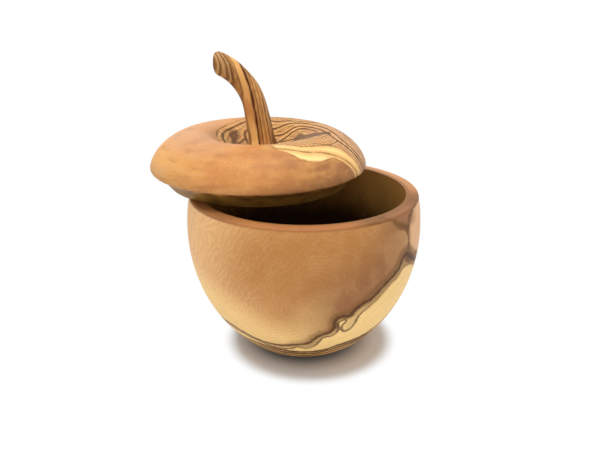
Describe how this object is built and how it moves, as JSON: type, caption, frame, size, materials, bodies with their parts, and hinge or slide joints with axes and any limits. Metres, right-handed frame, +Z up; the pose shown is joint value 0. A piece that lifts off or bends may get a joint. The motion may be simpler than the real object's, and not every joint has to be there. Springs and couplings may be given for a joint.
{
  "type": "apple-shaped salt keeper with a loose lid",
  "caption": "Turned wooden keeper shaped like an apple: an open bowl, a dimpled lid with a tapered plug lying ajar on its rim, and a bent stem as the handle.",
  "frame": {"origin": "centre of the bowl's flat foot, on the surface that it stands on", "axes": "+Z up along the bowl's turning axis; +X to the right and +Y away from the viewer in the picture, so the lid lies shifted to -X and +Y"},
  "size_m": [0.1334, 0.1282, 0.1438],
  "materials": {
    "bowl_wood": "oiled satin",
    "lid_wood": "oiled satin",
    "stem_wood": "oiled satin"
  },
  "bodies": {
    "bowl": {"bowl": "bowl_wood"},
    "lid": {"lid": "lid_wood", "stem": "stem_wood"}
  },
  "joints": [
    {"name": "lid_lift", "type": "slide", "parent": "bowl", "child": "lid", "axis": [0, 0, 1], "range_m": [0, 0.1]}
  ]
}
